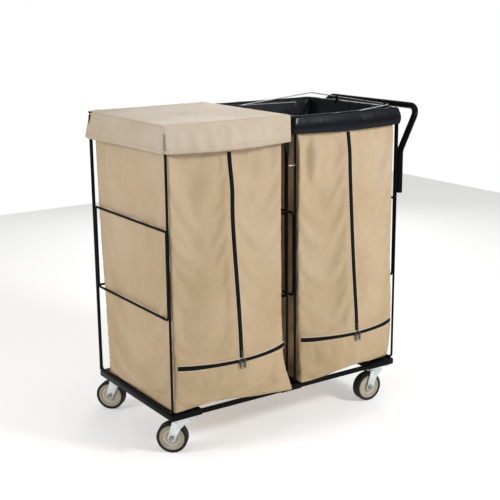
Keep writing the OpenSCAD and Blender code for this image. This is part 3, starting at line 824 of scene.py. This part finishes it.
def makeBag(side):
    bag = bagSettings[side]
    k = bagCommon
    hem = planRing(bag, k["bottomZ"])
    count = len(hem)
    rings = bagBottom(bag, hem)
    firstWall = len(rings)
    heights = []
    z = k["bottomZ"] + 2
    while z < k["wallTop"]:
        heights.append(z)
        z += k["row"] if abs(z - 156) > 8 else k["hemRow"]
    rings += [bagWall(bag, z) for z in heights]
    rings += bagCuff(bag, planRing(bag, k["mouthZ"], k["mouthCorner"]))
    seams = {r * count + c: k["cornerSeam"] for r in range(firstWall, len(rings))
             for c, p in enumerate(hem) if p[2] > 3}
    seams.update({firstWall * count + c: k["hemSeam"] for c in range(count)})
    piece = ringMesh("canvasBag." + side, rings, "canvas", cap=True, seams=seams)
    pins = {len(rings) * count: 1.0}
    for r in range(len(rings)):
        free = firstWall + 2 <= r <= firstWall + len(heights) - 4
        for c, (x, y, s, t) in enumerate(hem):
            weight = bagPin(bag, s, x, heights[r - firstWall]) if free else 1.0
            if weight:
                pins[r * count + c] = weight
    settle(piece, pins, k["frames"], k["mostMove"])
    thicken(piece, k["thickness"])
    joinCart(piece, "root", "bag_" + side)


linerSettings = {
    "inset": 3.2, "thickness": 0.9, "top": 1041.0, "rise": 9.6, "out": 2.6, "drop": 46.0, "tall": 0.96,
    "floorZ": 158, "floorInset": 30.0, "slack": 32.0, "crinkle": 4.5, "pleat": 2.4, "cuffRows": 9,
}


def linerBody(bag):
    # the floor, then walls that hang well inside the bag and meet it at the mouth
    k = linerSettings
    middle = ((bag["sides"][0] + bag["sides"][1]) / 2, frameDepth / 2)
    plan = [inset(bag, p[0], p[1], k["floorInset"]) for p in planRing(bag, k["floorZ"])]
    rings = []
    for f in (0.1, 0.35, 0.6, 0.82, 0.95):
        rings.append([cart(mix(middle[0], x, f), mix(middle[1], y, f), k["floorZ"] - 3) for x, y in plan])
    for z in [k["floorZ"] + 4, 175, 200] + list(range(230, 960, 30)) + [970, 990, 1008, 1022]:
        loose = ease((1035 - z) / 90)
        placed = []
        for i, (x, y, s, t) in enumerate(planRing(bag, z)):
            sag = 3.0 + loose * (k["slack"] + k["crinkle"] * wrinkle(x, y, z, 0.017, bag["seed"] + 3))
            sag += loose * k["pleat"] * math.sin(i * 0.9 + bag["seed"]) * ease((z - 700) / 250)
            placed.append(cart(*inset(bag, x, y, max(sag, 2.9)), z))
        rings.append(placed)
    return rings


def linerCuff(bag, inner):
    # over the rim, then down the outside, puffed and gathered
    k = linerSettings
    angles = (20, 45, 70, 90, 110, 135, 160, 180)
    rings = overRim(bag, inner, angles, k["inset"], k["out"], k["top"], k["rise"], 1.1)
    for step in range(1, k["cuffRows"] + 1):
        t = step / k["cuffRows"]
        placed = []
        for i, (x, y, s, u) in enumerate(inner):
            swell = bag["puff"] * math.sin(math.pi * min(t * 0.92, 1))
            swell *= 0.8 + 0.5 * wrinkle(x, y, 0, 0.012, 21)
            gather = bag["gather"] * math.sin(i * 1.7 + 2 * wrinkle(x, y, 0, 0.02, 4)) * t
            corner = math.hypot(x - bag["sides"][1], y - bagCommon["frontTop"])
            drop = k["drop"] + bag["droop"] * ease(1 - corner / 34)
            if s == 0:
                drop += bag["cuffSag"] * math.sin(math.pi * u)
            ox, oy = rimPoint(bag, x, y, k["out"] + swell + max(gather, -0.4))
            placed.append(cart(ox, oy, k["top"] - drop * t + wrinkle(x, y, 0, 0.035, 31) * t))
        rings.append(placed)
    return rings


def makeLiner(side):
    bag = bagSettings[side]
    k = linerSettings
    inner = planRing(bag, bagCommon["mouthZ"], bagCommon["mouthCorner"])
    piece = ringMesh("liner." + side, linerBody(bag) + linerCuff(bag, inner), "vinyl", cap=True)
    thicken(piece, k["thickness"])
    joinCart(piece, "root", "liner_" + side)


lidSettings = {
    "x": (-10.6, 454.6), "y": (-9.0, 513.0), "top": 1058.8, "skirt": 84.0, "backSkirt": 16.0, "round": 7.0,
    "corner": 9.0, "columns": (40, 44, 36, 44), "rows": 11, "thickness": 1.8,
    "sag": 5.0, "ripple": 1.2, "wave": 1.5, "frontSag": 3.0, "frontGape": (3.0, 22.0),
    "leftGape": (4.0, 17.0, 2.5), "rearFlare": 20.0, "rightFlare": 2.0,
    "tuck": (9.0, -2.0), "tuckReach": 55.0,  # the rear left corner is drawn in beside the hoop's corner
    "frames": 12, "mostMove": 5.0, "slack": 0.01, "stiff": 8.0,
}


def lidOutline():
    k = lidSettings
    (x0, x1), (y0, y1) = k["x"], k["y"]
    drawn = []
    corners = [(x0, y0), (x1, y0), (x1, y1), (x0, y1)]
    for x, y, s, t in roundedOutline(corners, k["columns"], k["corner"], tight=True):
        near = ease(1 - math.hypot(x - x0, y - y1) / k["tuckReach"])
        drawn.append((x + k["tuck"][0] * near, y + k["tuck"][1] * near, s, t))
    return drawn


def topSag(x, y):
    k = lidSettings
    u = (x - k["x"][0]) / (k["x"][1] - k["x"][0])
    v = (y - k["y"][0]) / (k["y"][1] - k["y"][0])
    hollow = math.sin(math.pi * min(max(u, 0), 1)) * math.sin(math.pi * min(max(v, 0), 1))
    return k["sag"] * hollow ** 0.7 + k["ripple"] * wrinkle(x, y, 0, 0.012, 17) * hollow


def lidTop(outline, mx, my):
    # rings that spread from the middle of the top, then roll over its edge
    k = lidSettings
    rings = []
    for f in (0.06, 0.18, 0.32, 0.46, 0.60, 0.73, 0.85, 0.93, 0.975):
        spread = [(mix(mx, x, f), mix(my, y, f)) for x, y, s, t in outline]
        rings.append([cart(x, y, k["top"] - topSag(x, y)) for x, y in spread])
    for angle in (30, 60, 90):
        a = math.radians(angle)
        f = 1 - (1 - math.sin(a)) * k["round"] / 240
        z = k["top"] - k["round"] * (1 - math.cos(a))
        rings.append([cart(mix(mx, x, f), mix(my, y, f), z) for x, y, s, t in outline])
    return rings


def flare(s, t):
    # how far the skirt's hem stands out, along x and y
    k = lidSettings
    near, gape = k["frontGape"]
    left, rear, ripple = k["leftGape"]
    right = k["rightFlare"]
    if s == 0:
        return 0.0, -(near + gape * math.sin(math.pi * t) ** 0.8)
    if s == 1:
        return right + right * math.sin(math.pi * t), 0.0
    if s == 3:
        return -(left + rear * ease((1 - t) * 1.15) + ripple * math.sin(t * 9)), 0.0
    if s == 4:
        return mix(0, right, t), -near * (1 - t)
    if s == 7:
        return -left * (1 - t), -near * t
    if s == 6:
        return -k["rearFlare"] * t, 0.0
    return right * (1 - t), 0.0


def lidSkirtRow(outline, mx, d):
    # the skirt's cloth at share d of its drop; the back only turns under
    k = lidSettings
    placed = []
    for x, y, s, t in outline:
        fx, fy = flare(s, t)
        wave = k["wave"] * wrinkle(x, y, d * 60, 0.02, 29) * d
        length = k["skirt"] - k["round"]
        if s == 0:
            length += k["frontSag"] * math.sin(math.pi * t)
        if s in (2, 5, 6):
            length, fx, fy, wave = k["backSkirt"] - k["round"], 0.0, 0.0, 0.0
        grow = d ** 1.4
        nx = math.copysign(1, x - mx) if s in (1, 3) else 0
        ny = -1 if s == 0 else 0
        placed.append(cart(x + fx * grow + nx * wave, y + fy * grow + ny * wave,
                           k["top"] - k["round"] - length * d))
    return placed


def lidSeams(outline, firstSkirt, ringCount):
    # a slit at the front left corner, painted almost black as painted shade in the gap, a seam at the front
    # right one, and a line of sewing at the hem
    count = len(outline)
    seams = {}
    for r in range(firstSkirt + 1, ringCount):
        for c, (x, y, s, t) in enumerate(outline):
            # painted shade: the slit's half of the corner is painted almost black
            if s == 7 and r > firstSkirt + 1:
                seams[r * count + c] = 0.95 if t > 0.5 else 0.1
            if s == 4:
                seams[r * count + c] = 0.15
    seams.update({(ringCount - 2) * count + c: 0.10 for c in range(count)})
    return seams


def makeLid():
    k = lidSettings
    mx, my = sum(k["x"]) / 2, sum(k["y"]) / 2
    outline = lidOutline()
    count = len(outline)
    rings = lidTop(outline, mx, my)
    firstSkirt = len(rings)
    rings += [lidSkirtRow(outline, mx, row / k["rows"]) for row in range(1, k["rows"] + 1)]
    seams = lidSeams(outline, firstSkirt, len(rings))
    piece = ringMesh("lidCover", rings, "lidCanvas", cap=True, seams=seams)
    # the rings run from the top down, so the sheet is turned to face outwards
    piece.data.flip_normals()
    pins = {}
    for r in range(len(rings)):
        for c, (x, y, s, t) in enumerate(outline):
            if firstSkirt - 4 <= r <= firstSkirt:
                pins[r * count + c] = 1.0
            elif s in (2, 4, 5, 6, 7):
                pins[r * count + c] = 0.8
            else:
                pins[r * count + c] = 0.25 if r > firstSkirt else 1.0
    settle(piece, pins, k["frames"], k["mostMove"], k["slack"], k["stiff"])
    hemRow = [piece.data.vertices[(len(rings) - 3) * count + c].co.copy() for c in range(count)]
    thicken(piece, k["thickness"])
    for label, side, out in (("front", 0, (0, -1, 0)), ("right", 1, (1, 0, 0)), ("left", 3, (-1, 0, 0))):
        line = [point for point, place in zip(hemRow, outline) if place[2] == side]
        makeStitches("lidStitch." + label, line, Vector(out), "lid")
    joinCart(piece, "lid", "lid_cover")


zipSettings = {
    "tape": 9.6, "edge": 0.1, "lift": 0.5, "coil": 2.4, "coilHeight": 1.2, "pitch": 3.2, "row": 6.0,
    "tooth": (3.0, 1.7, 0.9), "toothLift": 0.35, "toothBevel": 0.24, "steps": 72, "endGap": 13.0,
    "flapIn": 7.7, "flapOut": 12.2, "flapLift": 1.5, "wander": 1.2,
}


def zipBow(bag, z):
    # the upright zip wanders sideways a little, most of all near its top
    bowZ, bow, width = bag["zipBow"]
    near = math.exp(-((z - bowZ) / width) ** 2)
    return bow * near + zipSettings["wander"] * math.sin(z * 0.011 + bag["seed"]) * ease((z - 320) / 80)


def uprightPath(bag):
    # (point, sideways, outwards) up the bag front's middle, from the cross zip to the top
    k = bagCommon
    lean = math.atan2(k["bulge"], k["kneeZ"] - k["zipZ"])
    out = Vector((0, -math.cos(lean), math.sin(lean)))
    path = []
    z = k["zipZ"] + 6
    while z < bag["zipTop"]:
        y = -k["bulge"] * (k["kneeZ"] - z) / (k["kneeZ"] - k["zipZ"])
        path.append((Vector((bag["mid"] + zipBow(bag, z), y, z)), Vector((1, 0, 0)), out))
        z += zipSettings["row"]
    return path


def crossPath(bag):
    # the same along the cross zip, from left to right
    k = zipSettings
    radius = arcRadius(bag)
    centre = Vector((bag["mid"], radius - bagCommon["bulge"], bagCommon["zipZ"]))
    reach = math.asin((bag["half"] - k["endGap"]) / radius)
    path = []
    for i in range(k["steps"] + 1):
        angle = mix(-reach, reach, i / k["steps"])
        out = Vector((math.sin(angle), -math.cos(angle), 0))
        path.append((centre + out * radius, Vector((0, 0, 1)), out))
    return path


def stripRings(path, profile):
    return [[cart(*(p + side * a + out * h)) for a, h in profile] for p, side, out in path]


def makeZip(name, path, node):
    k = zipSettings
    half = [(k["tape"], k["edge"]), (k["tape"], k["lift"]), (k["coil"], k["lift"] + 0.3),
            (k["coil"] * 0.8, k["coilHeight"])]
    profile = [(-a, h) for a, h in half] + [(0, k["coilHeight"] + 0.3)] + half[::-1]
    tape = ringMesh(name, stripRings(path, profile), "zipTape", closed=False)
    activate(tape)
    bpy.ops.object.shade_smooth()
    # teeth: one small bead, copied from side to side along the coil
    bead = makeBead(name + ".teeth", k["toothBevel"], 1)
    wide, long, high = (size * mm for size in k["tooth"])
    spots = []
    travelled, spot, flip = 0.0, 0.0, 1
    for (p, side, out), (q, *_) in zip(path, path[1:]):
        span = (q - p).length
        forward = (q - p) / span
        while spot < travelled + span:
            at = p + forward * (spot - travelled) + side * flip * k["toothLift"]
            at += out * (k["coilHeight"] + k["toothLift"])
            spots.append((cart(*at), side * wide, forward * long, out * high))
            spot += k["pitch"]
            flip = -flip
        travelled += span
    copyBead(bead, spots, "zipTeeth")
    joinCart(tape, "root", node)
    joinCart(bead, "root")


def makeFlaps(name, path):
    # folded canvas edges on both sides of a zip
    k = zipSettings
    inner, outer, lift = k["flapIn"], k["flapOut"], k["flapLift"]
    half = [(inner, 0.1), (inner - 0.3, lift * 0.6), (inner + 1.0, lift), ((inner + outer) / 2, lift * 0.85),
            (outer - 1.2, lift * 0.8), (outer, 0.1)]
    for label, profile in (("a", [(-a, h) for a, h in half]), ("b", half[::-1])):
        flap = ringMesh(name + "." + label, stripRings(path, profile), "zipEdge", closed=False)
        flap.data.flip_normals()
        activate(flap)
        bpy.ops.object.shade_smooth()
        joinCart(flap, "root")


def makeFloor():
    k = studioSettings
    deselect()
    bpy.ops.mesh.primitive_plane_add(size=k["floor"], location=(0, 0, 0))
    floor = bpy.context.object
    floor.name = "floor"
    material, _ = startMaterial(
        "paleFloor", Roughness=0.8, Specular_IOR_Level=0.2, Base_Color=k["floorColour"],
        Emission_Color=(1, 1, 1, 1), Emission_Strength=k["floorGlow"])
    floor.data.materials.append(material)
    deselect()


makeCamera()
makeLights()
makeFloor()
print("camera, lights and floor ready")

nodeFinishes = {
    "frame_black": "frame", "handle_black": "handle", "bolt_zinc": "bolt", "canvas_tan": "canvas",
    "lid_canvas_tan": "lidCanvas", "liner_black": "vinyl", "zip_black": "zipTape", "zip_metal": "zipPull",
    "lid_wire_black": "frame", "clip_black": "clip", "retainer_wire": "wire", "caster_zinc": "zinc",
    "wheel_grey": "core", "tyre_black": "tyre",
}
for entry in frame["record"]["subparts"]:
    node = frame["nodes"][entry["node"]]
    node.data.materials.clear()
    node.data.materials.append(finishes[nodeFinishes[entry["material_slot"]]])
print("node finishes set")

softSettings = {
    # start of the node's name: finish, slot, edge radius in millimetres
    "base_channel": ("frame", "frame_black", 0.9),
    "caster_plate": ("zinc", "caster_zinc", 0.5),
    "fork": ("zinc", "caster_zinc", 0.6),
    "axle": ("bolt", "bolt_zinc", 0.5),
    "wheel_core": ("core", "wheel_grey", 0.5),
}
edgeSettings = {
    "merge": 0.00002, "flat": math.radians(0.4), "sharp": math.radians(34), "segments": 2,
    "hub": 16.0, "rib": (23.5, 31.0), "grooveShade": 0.28,
}


def bodyOf(node):
    for name, members in frame["record"]["behaviour"]["bodies"].items():
        if node in members:
            return name
    return "root"


def paintGrooveShade(piece, hub):
    # painted shade: the wheel's web and outer groove are painted darker than its hub and its rib
    k = edgeSettings
    marks = piece.data.attributes.new("seam", "FLOAT", "POINT")
    for vertex in piece.data.vertices:
        reach = (vertex.co - hub).length / mm
        raised = reach < k["hub"] or k["rib"][0] < reach < k["rib"][1]
        marks.data[vertex.index].value = 0.0 if raised else k["grooveShade"]


def softenEdges(node, finish, slotName, radius):
    # a copy of a hard node with its corners worn round
    k = edgeSettings
    piece = bpy.data.objects.new(node + ".soft", frame["nodes"][node].data.copy())
    bpy.context.scene.collection.objects.link(piece)
    activate(piece)
    bpy.ops.object.mode_set(mode="EDIT")
    bpy.ops.mesh.select_all(action="SELECT")
    bpy.ops.mesh.remove_doubles(threshold=k["merge"])
    bpy.ops.mesh.dissolve_limited(angle_limit=k["flat"])
    bpy.ops.object.mode_set(mode="OBJECT")
    modifier = piece.modifiers.new("edges", "BEVEL")
    modifier.width = radius * mm
    modifier.segments = k["segments"]
    modifier.limit_method = "ANGLE"
    modifier.angle_limit = k["sharp"]
    bpy.ops.object.modifier_apply(modifier=modifier.name)
    bpy.ops.object.shade_smooth_by_angle(angle=k["sharp"])
    if node.startswith("wheel_core"):
        low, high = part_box(node)
        paintGrooveShade(piece, (low + high) / 2)
    piece.data.materials.clear()
    piece.data.materials.append(finishes[finish])
    joinCart(piece, bodyOf(node), node)
    deselect()


for node in frame["nodes"]:
    for start, choice in softSettings.items():
        if node.startswith(start):
            softenEdges(node, *choice)
print("hard edges worn round")

for side, bag in bagSettings.items():
    makeBag(side)
    print("bag made:", side)
    makeLiner(side)
    upright = uprightPath(bag)
    cross = crossPath(bag)
    makeZip("uprightZip." + side, upright, "zip_tape_" + side)
    makeZip("crossZip." + side, cross, "cross_zip_tape_" + side)
    makeFlaps("uprightFlap." + side, upright)
    makeFlaps("crossFlap." + side, cross)
    print("liner and zips made:", side)
makeLid()
print("lid made")
